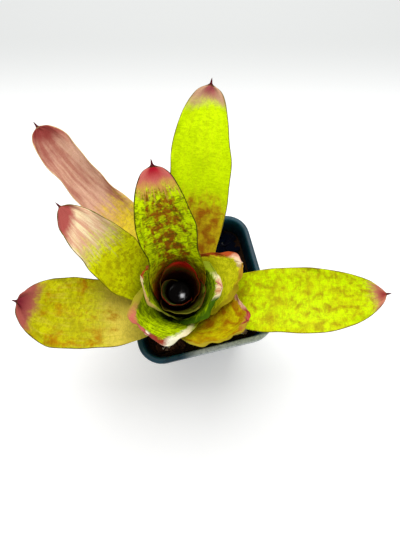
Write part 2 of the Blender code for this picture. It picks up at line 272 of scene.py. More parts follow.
def midrib(name):
    """The midrib in the leaf's own plane as (out, side, up) in mm from the plant's foot."""
    order = ORDER[name]
    join_z = FIRST_LEAF_UP - order * LEAF_STEP_DOWN
    join_r = STEM_TOP_RADIUS + STEM_FLARE * (STEM_TOP - join_z) + GAP + 0.6 * LEAF_THICKNESS
    sheath_r = FIRST_SHEATH + order * SHEATH_STEP
    rise = SHEATH_SLOPE * (sheath_r - join_r) + SHEATH_RISE
    end = np.array([sheath_r, 0, join_z + rise])
    foot = [(join_r, 0, join_z), ((join_r + 2 * sheath_r) / 3, 0, join_z + rise / 2), end]
    blade = [end + (out, side, up) for out, up, side in LEAVES[name][-1]]
    even = np.linspace(0, 1, ROWS + 1)
    along = 0.5 * even + 0.5 * (1 - np.cos(math.pi * even)) / 2
    curve, length = smooth_curve(np.array(foot + blade, float), along)
    return curve, along, length


print("longest midrib, mm:", round(max(midrib(name)[2] for name in LEAVES)))

# %% [markdown]
# ### Laying a row on its arc
#
# In the sheath the arc is level and its centre is the plant's axis. In the blade it is
# square to the midrib, with the channel's own radius. A smooth blend takes one into the
# other. The last rows run out into the tip's spine.

# %% Rows of a leaf
LONG_LEAF = 80  # mm along the midrib, past which a leaf has its full spine
SPINE_LENGTH = {"short": 1.2, "long": 4.0}
SPINE_HALF, SPINE_END = 0.75, 0.12
SPINE_ROWS = 4
NECK = 0.75  # width just above the sheath, as a share of the blade's
EVEN_ACROSS = np.linspace(-1, 1, ACROSS + 1)
ACROSS_PLACES = 0.5 * EVEN_ACROSS + 0.5 * np.sin(EVEN_ACROSS * math.pi / 2)


def leaf_rows(name):
    """Each row's points in mm, its share of the length, that length, and its half width."""
    azimuth, wrap, opens, half, channel, taper, blunt, _ = LEAVES[name]
    path, along, length = midrib(name)
    sheath_r = FIRST_SHEATH + ORDER[name] * SHEATH_STEP
    blade = half * (NECK + (1 - NECK) * smooth_step(along, opens, opens + 0.3))
    sheathed = 1 - smooth_step(along, opens * 0.7, opens * 1.4)
    wrapped = math.radians(wrap) * np.minimum(path[:, 0], sheath_r)
    narrow = np.clip(1 - (1 - along) * length / (taper * half), 0, 0.998)
    width = (sheathed * wrapped + (1 - sheathed) * blade) * (1 - narrow**1.3) ** blunt
    radius = sheathed * path[:, 0] + (1 - sheathed) * channel
    heading = np.gradient(path, axis=0)
    heading /= np.linalg.norm(heading, axis=1)[:, None]
    spine = np.linspace(0, 1, SPINE_ROWS + 1)[1:]
    reach = SPINE_LENGTH["long" if length > LONG_LEAF else "short"]
    path = np.vstack([path, path[-1] + np.outer(spine * reach, heading[-1])])
    heading = np.vstack([heading, np.repeat(heading[-1:], SPINE_ROWS, 0)])
    along = np.append(along, 1 + spine * reach / length)
    sheathed, radius = (np.append(v, [v[-1]] * SPINE_ROWS) for v in (sheathed, radius))
    width = np.append(width, SPINE_HALF * (1 - spine) ** 0.8 + SPINE_END)
    rows = []
    for point, ahead, r, wide, level in zip(path, heading, radius, width, sheathed):
        side = np.array([0, 1, 0]) - ahead[1] * ahead
        side /= np.linalg.norm(side)
        inward = (1 - level) * np.cross(ahead, side) + level * np.array([-1, 0, 0])
        inward /= np.linalg.norm(inward)
        angle = ACROSS_PLACES * wide / r
        rows.append(point + np.outer(r * np.sin(angle), side)
                    + np.outer(r * (1 - np.cos(angle)), inward))
    rows = np.array(rows)
    turn = math.radians(azimuth)
    x = rows[..., 0] * math.cos(turn) - rows[..., 1] * math.sin(turn)
    y = rows[..., 0] * math.sin(turn) + rows[..., 1] * math.cos(turn)
    return np.stack([x, y, rows[..., 2]], -1), along, length, width


# %% [markdown]
# ### Crinkles
#
# A living margin is never a clean curve. Three waves of different length lift and sink
# the blade near its edge, and fade towards the midrib, towards the sheath and where the
# leaf narrows to its spine. On the upright leaves the margin also turns outwards a little.

# %% Crinkled margins
CRINKLE_WIDTHS = (1.0, 7.0)  # half widths in mm: no waves below the first, all past the other
FLARE_DROP = 0.4  # how far a turned margin sinks, as a share of how far it turns out


def crinkled(rows, along, length, width, seed, crinkle, waves, flare, reach):
    """Vertices in metres, each one's share across and along, and mm from the margin."""
    share = np.tile(0.5 + 0.5 * ACROSS_PLACES, len(rows))
    place = np.repeat(along, ACROSS + 1)
    normal = np.cross(np.gradient(rows, axis=1), np.gradient(rows, axis=0)).reshape(-1, 3)
    normal /= np.linalg.norm(normal, axis=1)[:, None] + 1e-9
    half_width = np.repeat(width, ACROSS + 1)
    margin = (1 - np.abs(2 * share - 1)) * half_width
    margin = np.minimum(margin, np.maximum(1 - place, 0) * length)
    run = 6.3 * place + 5.0 * (share - 0.5)
    wave = np.sin(waves * run + seed) + 0.6 * np.sin(2.1 * waves * run + 2 * seed)
    wave += 0.5 * np.sin(3.7 * waves * run + 5 * seed)
    blade = smooth_step(place, 0.25, 0.5)
    rim = blade * (1 - smooth_step(margin, 0.0, reach)) ** 1.5
    wave *= crinkle * rim * smooth_step(half_width, *CRINKLE_WIDTHS)
    points = rows.reshape(-1, 3) - normal * wave[:, None]
    outwards = points * (1, 1, 0)
    outwards /= np.linalg.norm(outwards, axis=1)[:, None]
    points += (outwards * flare - np.array([0, 0, FLARE_DROP * flare])) * rim[:, None]
    return points * MM + np.array([*PLANT_CENTRE, MIX_TOP]), share, place, margin


# %% [markdown]
# ### Making the leaf
#
# The grid comes from the Add menu with its UV map, which then runs from 0 to 1 across the
# leaf and along it. Once its vertices are laid, Subdivision Surface rounds it all, and
# Solidify gives it a thickness that runs out thin at the margins and along the spine. Two
# attributes are kept for the finish: how many millimetres a point lies from the margin,
# and whether it is on the underside.

# %% Leaf maker
FINE_EDGE = 0.45  # thickness at the margin, as a share of the thickness at the midrib


def apply_all(piece):
    """Applies every modifier of the piece in turn."""
    bpy.ops.object.select_all(action="DESELECT")
    bpy.context.view_layer.objects.active = piece
    piece.select_set(True)
    for modifier in list(piece.modifiers):
        bpy.ops.object.modifier_apply(modifier=modifier.name)


def make_leaf(name, crinkle, waves, flare, reach):
    """One leaf. Its margin waves by crinkle mm; its last reach mm turn out by flare mm."""
    rows, along, length, width = leaf_rows(name)
    bpy.ops.object.select_all(action="DESELECT")
    bpy.ops.mesh.primitive_grid_add(
        x_subdivisions=ACROSS, y_subdivisions=len(rows) - 1, size=1, calc_uvs=True
    )
    leaf = bpy.context.object
    leaf.name = leaf.data.name = name + "_blade"
    points, share, place, margin = crinkled(
        rows, along, length, width, ORDER[name], crinkle, waves, flare, reach
    )
    leaf.data.vertices.foreach_set("co", points.astype(np.float32).ravel())
    spots = np.zeros(len(leaf.data.loops), int)
    leaf.data.loops.foreach_get("vertex_index", spots)
    uv = np.stack([share[spots], place[spots]], 1)
    leaf.data.uv_layers[0].name = "blade"
    leaf.data.uv_layers[0].data.foreach_set("uv", uv.astype(np.float32).ravel())
    inset = leaf.data.attributes.new("margin", "FLOAT", "POINT")
    inset.data.foreach_set("value", margin.astype(np.float32))
    thickness = leaf.vertex_groups.new(name="thickness")
    slim = np.clip((along[-1] - place) / (along[-1] - 1), 0, 1)
    for index, weight in enumerate(slim * (1 - np.abs(2 * share - 1) ** 3)):
        thickness.add([index], float(weight), "REPLACE")
    rounding = leaf.modifiers.new("rounding", "SUBSURF")
    rounding.levels = rounding.render_levels = 1
    apply_all(leaf)
    under_points = len(leaf.data.vertices)
    body = leaf.modifiers.new("body", "SOLIDIFY")
    body.thickness = LEAF_THICKNESS * MM
    body.offset = 0
    body.vertex_group = "thickness"
    body.thickness_vertex_group = FINE_EDGE
    apply_all(leaf)
    under = leaf.data.attributes.new("underside", "FLOAT", "POINT")
    marks = [float(index < under_points) for index in range(len(leaf.data.vertices))]
    under.data.foreach_set("value", marks)
    bpy.ops.object.shade_smooth()
    return leaf, length


# %% [markdown]
# ### Leaf colour
#
# The plant's colours come in layers: a lime ground with paler and darker cells, straw at
# the foot, tan blotches, fine dark cross lines, long pale streaks, a sun-bleached zone
# and a rose or crimson cap with a maroon spine. One recipe holds all the layers, and each
# leaf turns them up or down. The pattern lies in the blade's own UV map, stretched to
# millimetres, so that it follows the leaf.

# %% Leaf layers
CREAM, MAROON = tint("f2e2b4"), tint("541a22")
FOLIAGE = dict(
    patch=0.6, streaks=0.25, blotch_amount=0.0, blotch_zone=(0.0, 1.0), blotch_width=0.9,
    lines=0.16, line_squeeze=0.25, line_colour=tint("4c4a08"), bleach=None,
    bleach_streak=None, cap_soft=0.04, cap_lean=0.0, cap_core=None, edge_width=0.5,
    dark=None,
)


def wander(paint, value, by, amount):
    """The value, shifted up and down by a noise."""
    return paint.sum("MULTIPLY_ADD", paint.sum("SUBTRACT", by, 0.5), amount, value)


def blotches(paint, look, mm, along, across):
    """Where the tan blotches lie: a broad noise, raised inside the leaf's blotch zone."""
    low, high = look["blotch_zone"]
    blot = paint.noise(mm, 1 / look["blotch_size"], 5, 0.6, 0.4)
    inside = paint.sum("MULTIPLY", paint.fade(along, low - 0.08, low + 0.08),
                       paint.fade(along, high + 0.08, high - 0.08))
    middle = paint.fade(across, 1.05, look["blotch_width"])
    wanted = paint.sum("MULTIPLY", paint.sum("MULTIPLY", inside, middle), look["blotch_amount"])
    over = paint.sum("MULTIPLY_ADD", wanted, 0.3, blot)
    mask = paint.fade(over, 0.66 - look["blotch_soft"], 0.66 + look["blotch_soft"])
    return paint.sum("MULTIPLY", mask, paint.fade(inside, 0, 0.5))


def cross_lines(paint, look, mm, crosswise):
    """Where the dark lines lie: contours of a noise and the seams between stirred cells."""
    wave = paint.noise(crosswise, 0.24, 2, 0.5, 0.6)
    line = paint.fade(paint.sum("PINGPONG", wave, 0.07), 0.024, 0.0)
    net = paint.cells(paint.stir(crosswise, 0.5, 2.5), 0.42, "DISTANCE_TO_EDGE")
    line = paint.sum("MAXIMUM", line, paint.fade(net, 0.13, 0.02))
    line = paint.sum("MULTIPLY", line, paint.fade(paint.noise(mm, 0.3, 2), 0.36, 0.52))
    return paint.sum("MULTIPLY", line, look["lines"])


def bleach_zone(paint, look, colour, along, cell, broad, streak):
    """The colour with the sun-bleached end of the leaf over it, in long pale streaks."""
    ragged = wander(paint, wander(paint, along, streak, 0.35), cell, 0.1)
    pale = look["bleach"]
    if look["bleach_streak"]:
        pale = paint.mix(paint.fade(broad, 0.38, 0.62), pale, look["bleach_streak"])
        pale = paint.mix(paint.fade(streak, 0.4, 0.65, 0, 0.3), pale, look["bleach_streak"])
    return paint.mix(paint.fade(ragged, *look["bleach_zone"], 0, 0.95), colour, pale)


def leaf_cap(paint, look, colour, along, across, ragged):
    """The colour with the rose cap at the tip over it, and the cap's own darker core."""
    start, soft = look["cap_start"], look["cap_soft"]
    colour = paint.mix(paint.fade(ragged, start - soft, start + soft), colour, look["cap"])
    if look["cap_core"]:
        core = paint.sum("MULTIPLY", paint.fade(along, start, 0.99), paint.fade(across, 0.8, 0.25))
        colour = paint.mix(core, colour, look["cap_core"])
    return colour


def margin_stripe(paint, look, colour, mm, sideways, along):
    """The colour with a stripe on the margin, whose own colours run round the outline."""
    margin = paint.add("Attribute", attribute_name="margin").outputs["Fac"]
    rim_noise = paint.noise(mm, 0.35, 3, 0.6)
    breadth = look["edge_width"]
    rim = paint.fade(wander(paint, margin, rim_noise, 1.6 * breadth),
                     breadth, 0.5 * breadth, 0, 0.92)
    rim = paint.sum("MULTIPLY", rim, paint.fade(along, 0.3, 0.45))
    tipwards = paint.sum("MULTIPLY_ADD", along, -1.33, 1.53)
    outline = paint.sum("MULTIPLY_ADD", sideways, tipwards, 0.5)
    edge = paint.ramp(wander(paint, outline, rim_noise, 0.1), *look["edge"])
    return paint.mix(rim, colour, edge), margin


# %% [markdown]
# The finish lays the layers over each other in the order in which they show on the leaf.
# Last come the spine, the paler underside and a fine grain, and the veins stand up a
# little in the bump.

# %% Leaf finish
LEAF_ROUGHNESS, LEAF_GLOSS, LEAF_IOR = 0.42, 0.1, 1.25
# TANK_SHADE is painted shade: the near-black of a leaf's part deep down in the tank.
TANK_SHADE, UNDERSIDE = tint("1a0604"), tint("a4a85a")


def leaf_finish(name, length, **changes):
    """The leaf's own mixture of the layers above."""
    look = dict(FOLIAGE, **changes)
    breadth = 2 * LEAVES[name][3]
    paint = Paint(name + "_finish", LEAF_ROUGHNESS, LEAF_GLOSS)
    paint.shader.inputs["IOR"].default_value = LEAF_IOR
    seed = 7.3 * ORDER[name]
    split = paint.add("SeparateXYZ", paint.place(uv="blade"))
    sideways = paint.sum("SUBTRACT", split.outputs[0], 0.5)
    across = paint.sum("MULTIPLY", paint.sum("ABSOLUTE", sideways), 2.0)
    along = split.outputs[1]
    mm = paint.place((breadth, length, 1), (seed, seed, seed), "blade")
    lengthwise = paint.place((breadth, length * 0.12, 1), (seed, 0, 2 * seed), "blade")
    crosswise = paint.place((breadth * look["line_squeeze"], length, 1), (0, seed, seed), "blade")
    drift = paint.noise(mm, 0.07, 2)
    cell = paint.noise(mm, 0.42, 4, 0.65)
    streak = paint.noise(lengthwise, 0.75, 3, 0.6)
    broad = paint.noise(lengthwise, 0.26, 4, 0.6)
    colour = paint.mix(paint.fade(drift, 0.4, 0.75, 0, 0.6), look["ground"], look["second"])
    spotty = paint.fade(cell, 0.46, 0.60, 0, look["patch"])
    colour = paint.mix(spotty, colour, look["second"])
    foot = paint.fade(wander(paint, along, streak, 0.3),
                      look["foot_end"] + 0.15, look["foot_end"] - 0.05)
    colour = paint.mix(foot, colour, look["foot"])
    colour = paint.mix(paint.fade(streak, 0.45, 0.7, 0, look["streaks"]), colour, look["foot"])
    if look["blotch_amount"]:
        colour = paint.mix(blotches(paint, look, mm, along, across), colour, look["blotch"])
    colour = paint.mix(cross_lines(paint, look, mm, crosswise), colour, look["line_colour"])
    if look["bleach"]:
        colour = bleach_zone(paint, look, colour, along, cell, broad, streak)
    ragged = wander(paint, wander(paint, along, cell, 0.05), drift, 0.12)
    ragged = paint.sum("MULTIPLY_ADD", sideways, look["cap_lean"], ragged)
    colour = leaf_cap(paint, look, colour, along, across, ragged)
    # Painted shade: the part of the leaf down in the tank is darkened nearly to black.
    if look["dark"]:
        low, high = look["dark"]
        inside = paint.fade(wander(paint, along, cell, 0.2), high, low)
        colour = paint.mix(inside, colour, TANK_SHADE)
    colour, margin = margin_stripe(paint, look, colour, mm, sideways, along)
    if length > LONG_LEAF:
        colour = paint.mix(paint.fade(along, 0.992, 1.004), colour, MAROON)
    under = paint.add("Attribute", attribute_name="underside").outputs["Fac"]
    under = paint.sum("MULTIPLY", under, paint.fade(margin, 0.2, 1.5))
    colour = paint.mix(under, colour, paint.mix(0.35, colour, UNDERSIDE))
    shade = paint.fade(paint.noise(mm, 1.3, 3, 0.7), 0.4, 0.7, 0, 0.3)
    colour = paint.mix(shade, colour, (0.55, 0.5, 0.3), "MULTIPLY")
    paint.colour(colour)
    veins = paint.noise(lengthwise, 2.2, 2)
    paint.bump(paint.sum("MULTIPLY_ADD", veins, 0.5, cell), 0.4, 0.4 * MM)
    return paint.material


# %% [markdown]
# ### The fourteen leaves
#
# Each leaf now gets its own amounts. The heart leaves are painted in deep shade inside,
# where they line the tank, the cup leaves round them have crinkled pink and cream
# margins, and the long ones differ in how much tan, rose and bleaching they show. Zones,
# widths and starts are shares of the leaf; the edge is a list of places round the
# outline, 0.5 being the tip, with the colour at each.
# The second table holds the crinkles: their height in mm, how close they follow each
# other, how far the margin turns out and how far in from the margin it all reaches.

# %% Dress the leaves
PINK, GLINT_WHITE = tint("c8645c"), tint("f6f2dc")
LOOKS = {
    # In the three heart leaves the near-black foot and the dark zone are painted shade, deep down
    # in the tank.
    "leaf_heart_a": dict(
        ground=tint("2c4a1c"), second=tint("3c1408"), foot=tint("0c0303"), foot_end=0.6,
        cap=tint("3c3a10"), cap_start=0.97, lines=0.5, edge_width=0.4, dark=(0.4, 0.8),
        edge=((0.0, tint("54521c")), (0.5, tint("6a1a10"))),
    ),
    "leaf_heart_b": dict(
        ground=tint("4e3a0a"), second=tint("6a0f05"), foot=tint("0c0303"), foot_end=0.5,
        cap=tint("8e1408"), cap_start=0.88, cap_soft=0.08, edge_width=0.5, dark=(0.6, 0.88),
        lines=0.6, patch=0.8,
        edge=(
            (0.0, tint("4c4a14")), (0.3, tint("7c1408")), (0.7, tint("6a1408")),
            (0.9, tint("4a5a14")),
        ),
    ),
    "leaf_heart_c": dict(
        ground=tint("4e5c0a"), second=tint("3c1408"), foot=tint("0c0303"), foot_end=0.5,
        cap=tint("4a4a12"), cap_start=0.97, edge_width=0.5, dark=(0.55, 0.9), lines=0.9,
        line_colour=tint("140a04"), line_squeeze=0.07,
        edge=((0.0, tint("4a1a0a")), (0.4, tint("7c7a28")), (0.7, tint("5c140a"))),
    ),
    "leaf_centre": dict(
        ground=tint("d8f800"), second=tint("a8b800"), foot=tint("841008"), foot_end=0.27,
        blotch=tint("94580a"), blotch_size=4.6, blotch_amount=0.62, blotch_zone=(0.2, 0.9),
        blotch_width=0.2, blotch_soft=0.1, lines=0.66, line_colour=tint("4a4a04"),
        bleach=tint("d8a850"), bleach_zone=(0.8, 0.9), cap=tint("d46e66"), cap_start=0.9,
        cap_core=tint("b8142c"), edge_width=0.7, dark=(0.12, 0.2),
        edge=((0.0, tint("3c3806")),),
    ),
    "leaf_cup_left": dict(
        ground=tint("b8d008"), second=tint("7c8c06"), foot=tint("2a2204"), foot_end=0.3,
        cap=tint("a08a20"), cap_start=0.97, lines=0.8, line_colour=tint("20240a"),
        line_squeeze=0.07, edge_width=2.2,
        edge=(
            (0.0, tint("6c7420")), (0.36, tint("a83818")), (0.5, tint("c05030")), (0.55, CREAM),
            (0.68, tint("e0b070")), (0.76, tint("7c7a30")), (1.0, tint("4c4a10")),
        ),
    ),
    "leaf_cup_right": dict(
        ground=tint("a8cc08"), second=tint("6a8a06"), foot=tint("2a3204"), foot_end=0.3,
        cap=tint("d8b070"), cap_start=0.97, lines=0.8, line_colour=tint("1c240a"),
        line_squeeze=0.07, edge_width=4.2,
        edge=(
            (0.0, tint("2c4a08")), (0.36, tint("3c6008")), (0.4, CREAM), (0.46, tint("c88058")),
            (0.51, CREAM), (0.57, PINK), (0.63, CREAM), (0.7, tint("8c9a20")),
        ),
    ),
    # The two white stops on this margin are painted highlights, glints where the folded margin
    # catches the light.
    "leaf_front_left": dict(
        ground=tint("c0dc04"), second=tint("7e9006"), foot=tint("3c4a06"), foot_end=0.3,
        cap=tint("e8c8b0"), cap_start=0.97, lines=0.6, line_colour=tint("2c3408"),
        line_squeeze=0.07, edge_width=5.0,
        edge=(
            (0.0, tint("9ca410")), (0.2, tint("b0a030")), (0.28, PINK), (0.44, tint("b84c4c")),
            (0.47, GLINT_WHITE), (0.52, tint("8c1c20")), (0.64, tint("a02c30")), (0.69, GLINT_WHITE),
            (0.81, CREAM), (0.87, tint("9cac10")),
        ),
    ),
    "leaf_back_right": dict(
        ground=tint("f2f020"), second=tint("c8c80a"), foot=tint("8aa60a"), foot_end=0.3,
        cap=tint("c89a3c"), cap_start=0.95, lines=0.25, edge_width=3.6,
        edge=(
            (0.0, tint("a8a010")), (0.3, tint("b8a020")), (0.45, tint("c8902c")), (0.52, CREAM),
            (0.6, tint("e8b8a0")), (0.66, tint("b02c24")), (0.8, tint("8c1410")),
            (0.92, tint("b04c34")),
        ),
    ),
    "leaf_front_right": dict(
        ground=tint("d4cc08"), second=tint("b09004"), foot=tint("5a7208"), foot_end=0.3,
        blotch=tint("a66c08"), blotch_amount=0.5, blotch_soft=0.15, blotch_size=8,
        cap=tint("b0404a"), cap_start=0.96, edge_width=2.6,
        edge=(
            (0.0, tint("b4a830")), (0.42, tint("b09a20")), (0.48, tint("8c2424")),
            (0.56, tint("c05c54")), (0.62, tint("9c2428")), (0.7, tint("d8a890")),
            (0.85, tint("b0605a")), (1.0, tint("a8a010")),
        ),
    ),
    "leaf_back": dict(
        ground=tint("dcff00"), second=tint("bcd800"), foot=tint("e0c81c"), foot_end=0.42,
        blotch=tint("b06c14"), blotch_size=6, blotch_amount=0.66, blotch_zone=(0.18, 0.5),
        blotch_soft=0.18, blotch_width=0.6, patch=0.4, cap=tint("c89c7c"), cap_start=0.925,
        cap_core=tint("a04c50"), streaks=0.12,
        edge=((0.0, tint("7c6c18")),),
    ),
    "leaf_mid_left": dict(
        ground=tint("d8e004"), second=tint("a89c04"), foot=tint("98a008"), foot_end=0.25,
        bleach=tint("f4e2b8"), bleach_zone=(0.58, 0.76), bleach_streak=tint("d8a088"),
        cap=tint("a8504a"), cap_start=0.88, cap_lean=0.16, patch=0.75,
        edge=((0.0, tint("6c6408")),),
    ),
    "leaf_far_left": dict(
        ground=tint("ecd030"), second=tint("c8a040"), foot=tint("f0dc48"), foot_end=0.3,
        bleach=tint("dcae98"), bleach_zone=(0.42, 0.6), bleach_streak=tint("b47468"),
        cap=tint("8c3834"), cap_start=0.9, cap_soft=0.08, streaks=0.6,
        edge=((0.0, tint("e0c088")),),
    ),
    "leaf_right": dict(
        ground=tint("d4f800"), second=tint("c8bc0c"), foot=tint("b4c800"), foot_end=0.22,
        blotch=tint("a8900c"), blotch_size=5.5, blotch_amount=0.3, blotch_zone=(0.2, 0.98),
        blotch_soft=0.17, blotch_width=0.95, bleach=tint("c89c50"), bleach_zone=(0.88, 1.02),
        cap=tint("c07860"), cap_start=0.92, cap_core=tint("9c3c38"), patch=0.5,
        edge=((0.0, tint("7c6410")),),
    ),
    "leaf_left": dict(
        ground=tint("c4c404"), second=tint("9c9000"), foot=tint("dcc84c"), foot_end=0.42,
        blotch=tint("ac7400"), blotch_size=9, blotch_amount=0.2, blotch_zone=(0.4, 0.85),
        blotch_soft=0.14, cap=tint("a05248"), cap_start=0.885, cap_core=tint("7c2430"),
        streaks=0.3,
        edge=((0.0, tint("5c5008")),),
    ),
}
CRINKLES = {
    "leaf_heart_a": (0.35, 2.0, 0.2, 3), "leaf_heart_b": (0.45, 2.0, 0.4, 3),
    "leaf_heart_c": (0.5, 2.0, 0.6, 3),
    "leaf_cup_left": (0.9, 2.6, 1.2, 4), "leaf_cup_right": (1.0, 2.6, 2.8, 4.5),
    "leaf_front_left": (1.0, 2.2, 2.2, 5), "leaf_back_right": (1.3, 2.0, 1.6, 5),
    "leaf_front_right": (1.1, 2.4, 1.2, 5),
    "leaf_mid_left": (1.3, 1.6, 0, 8), "leaf_far_left": (1.3, 2.0, 0, 5),
    "leaf_left": (1.5, 1.5, 0, 8), "leaf_right": (0.8, 2.0, 0, 6),
    "leaf_centre": (0.4, 1.6, 0, 5), "leaf_back": (0.9, 1.6, 0, 6),
}
for name in LEAVES:
    leaf, length = make_leaf(name, *CRINKLES[name])
    leaf.data.materials.append(leaf_finish(name, length, **LOOKS[name]))
    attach(leaf, "root")
    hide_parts(name)
    print(name, "length, mm:", round(length), "faces:", len(leaf.data.polygons))

# %% [markdown]
# ## Pot
#
# The pot is a thin moulded shell: a square with round corners, walls that lean in, and a
# band turned over at the rim. It is drawn from the rim's outline. The inside is pushed
# down out of the rim, and the outside is pulled down in three steps: the band, the step
# under it and the wall. Because each step is a resize of the last, the corners stay round.

# %% Pot sizes
POT_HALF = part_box("pot")[1].x
POT_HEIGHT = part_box("pot")[1].z
RIM_BAND, RIM_LIP, RIM_CORNER = 6 * MM, 2.2 * MM, 16 * MM
POT_WALL, POT_FLOOR = 1.3 * MM, 1.6 * MM
FOOT_LEAN = 12.2 * MM  # how far the foot stands in from the rim's edge
FOOT_HALF = POT_HALF - FOOT_LEAN
UNDER_BAND = 0.75 * MM  # how much more the wall steps in under the band
EDGE_ROUND = 1.1 * MM
DRAIN_RADIUS, DRAIN_PLACE, DRILL_LENGTH = 3.5 * MM, 19.8 * MM, 8 * MM
print("pot, mm:", round(2 * POT_HALF / MM), "square,", round(POT_HEIGHT / MM), "high")

# %% [markdown]
# The shell and the mix inside it are drawn with the same few moves of edit mode: start
# from a rounded square, pick edges or faces by where they are, pull them and resize them,
# and turn all faces outwards at the end.

# %% Moves in edit mode
CORNER_FACES = 10


def rounded_square(name, half, corner, height):
    """A flat square with round corners, left in edit mode with all of it selected."""
    bpy.ops.object.select_all(action="DESELECT")
    bpy.ops.mesh.primitive_plane_add(size=2 * half, location=(0, 0, height))
    square = bpy.context.object
    square.name = square.data.name = name
    bpy.ops.object.transform_apply(location=True)
    bpy.ops.object.mode_set(mode="EDIT")
    bpy.ops.mesh.bevel(
        offset=corner, offset_type="OFFSET", segments=CORNER_FACES, affect="VERTICES"
    )
    bpy.ops.mesh.select_all(action="SELECT")
    return square


def pick(kind, test):
    """Selects just the vertices, edges or faces that pass the test."""
    bpy.ops.mesh.select_mode(type=kind)
    bpy.ops.mesh.select_all(action="DESELECT")
    shape = bmesh.from_edit_mesh(bpy.context.object.data)
    group = {"VERT": shape.verts, "EDGE": shape.edges, "FACE": shape.faces}[kind]
    for part in filter(test, group):
        part.select_set(True)
    bmesh.update_edit_mesh(bpy.context.object.data)


def resize(x, y, z):
    """Resizes what is selected about the pot's axis."""
    bpy.ops.transform.resize(value=(x, y, z), center_override=(0, 0, 0))


def pull(kind, by):
    """Extrudes the selected faces or edges and moves them."""
    if kind == "FACE":
        bpy.ops.mesh.extrude_region_move(TRANSFORM_OT_translate={"value": by})
    else:
        bpy.ops.mesh.extrude_edges_move(TRANSFORM_OT_translate={"value": by})


def close_up():
    """Turns all faces outwards and leaves edit mode."""
    bpy.ops.mesh.select_all(action="SELECT")
    bpy.ops.mesh.normals_make_consistent(inside=False)
    bpy.ops.object.mode_set(mode="OBJECT")


# %% [markdown]
# The inside comes first: the middle of the rim is inset and pushed down to the floor. The
# open edge all round is then pulled down past the band, in under it, and down to the foot,
# where a face closes it. A Bevel modifier softens every sharp edge at once.

# %% Pot shell
shell = rounded_square("pot_shell", POT_HALF, RIM_CORNER, POT_HEIGHT)
bpy.ops.mesh.inset(thickness=RIM_LIP + POT_WALL)
inner_half = POT_HALF - RIM_LIP - POT_WALL
pull("FACE", (0, 0, POT_FLOOR - POT_HEIGHT))
narrowing = (FOOT_HALF - POT_WALL) / inner_half
resize(narrowing, narrowing, 1)
pick("EDGE", lambda edge: edge.is_boundary)
pull("EDGE", (0, 0, -RIM_BAND))
pull("EDGE", (0, 0, 0))
under_band = 1 - (RIM_LIP + UNDER_BAND) / POT_HALF
resize(under_band, under_band, 1)
pull("EDGE", (0, 0, RIM_BAND - POT_HEIGHT))
resize(FOOT_HALF / POT_HALF / under_band, FOOT_HALF / POT_HALF / under_band, 1)
bpy.ops.mesh.edge_face_add()
close_up()
softening = shell.modifiers.new("rounding", "BEVEL")
softening.width = EDGE_ROUND
softening.segments = 4
softening.limit_method = "ANGLE"
softening.angle_limit = math.radians(50)
apply_all(shell)
print("pot faces:", len(shell.data.polygons))

# %% [markdown]
# Four drain holes go through the floor near its corners. A short cylinder drills each one
# with a Boolean and is then thrown away.

# %% Drain holes
bpy.ops.object.select_all(action="DESELECT")
for sx, sy in ((1, 1), (-1, 1), (-1, -1), (1, -1)):
    bpy.ops.mesh.primitive_cylinder_add(
        vertices=32, radius=DRAIN_RADIUS, depth=DRILL_LENGTH,
        location=(sx * DRAIN_PLACE, sy * DRAIN_PLACE, 0),
    )
    drill = bpy.context.object
    cut = shell.modifiers.new("drain", "BOOLEAN")
    cut.object = drill
    cut.operation = "DIFFERENCE"
    apply_all(shell)
    bpy.data.objects.remove(drill)
bpy.ops.object.select_all(action="DESELECT")
shell.select_set(True)
bpy.context.view_layer.objects.active = shell
bpy.ops.object.shade_smooth_by_angle(angle=math.radians(35))
print("pot faces, drilled:", len(shell.data.polygons))

# %% [markdown]
# The plastic is a dark teal with a satin skin. Moulded plastic is never quite even, so
# the roughness wanders a little. Dried mix has splashed the walls. A band of the walls
# below the rim is painted deep navy, as painted shade inside the pot, and a painted
# highlight, pale grey glare, lies on the right half of the front rim. Each is a mask made
# from the height and the place on the pot.

# %% Pot plastic
paint = Paint("pot_plastic", 0.34, 0.25)
where = paint.place()
cloud = paint.noise(where, 60, 3)
grain = paint.noise(where, 1400, 2)
body = paint.mix(paint.fade(cloud, 0.3, 0.7), tint("0a3444"), tint("0e4254"))
place = paint.add("SeparateXYZ", where)
height = place.outputs[2]
soil = paint.noise(where, 260, 4, 0.7)
splash = paint.fade(paint.sum("ADD", paint.sum("MULTIPLY", height, 12), soil), 1.44, 1.34)
body = paint.mix(paint.sum("MULTIPLY", splash, 0.35), body, tint("060a10"))
# Painted shade: a band of the walls below the rim, down to about 55 mm, is darkened to deep navy.
below_rim = paint.fade(height, 77.5 * MM, 74 * MM)
deep = paint.sum("MULTIPLY", below_rim, paint.fade(height, 50 * MM, 60 * MM))
body = paint.mix(paint.sum("MULTIPLY", deep, 0.8), body, tint("021222"))
# Painted highlight: pale grey glare, broken into flecks, on the right half of the front rim.
front = paint.sum("MULTIPLY", paint.fade(place.outputs[1], -40.5 * MM, -42.5 * MM),
                  paint.fade(place.outputs[0], -20 * MM, -5 * MM))
rim_glare = paint.sum("MULTIPLY", front, paint.fade(height, 76.5 * MM, 79 * MM))
glare_flecks = paint.fade(paint.noise(where, 500, 4, 0.7), 0.3, 0.6, 0.5, 0.95)
rim_glare = paint.sum("MULTIPLY", rim_glare, glare_flecks)
body = paint.mix(rim_glare, body, tint("c8d0cc"))
paint.colour(body)
paint.put(paint.shader.inputs["Roughness"], paint.fade(cloud, 0.2, 0.8, 0.28, 0.42))
paint.bump(grain, 0.15, 0.05 * MM)
shell.data.materials.append(paint.material)
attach(shell, "root")
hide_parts("pot")

# %% [markdown]
# ## Growing mix
#
# Bromeliads grow in coarse bark with a little white grit. On the body of the mix lies a
# loose layer of bark. Six chips are modelled, each a cube that is subdivided with a
# random wander and squashed, and then 420 copies are strewn over the mix, each with a
# size, a tilt and a tone of its own. Modelling six and copying them keeps each chip at
# two dozen faces.

# %% Bark chips
CHIP_CUTS = 1
dice = random.Random(11)


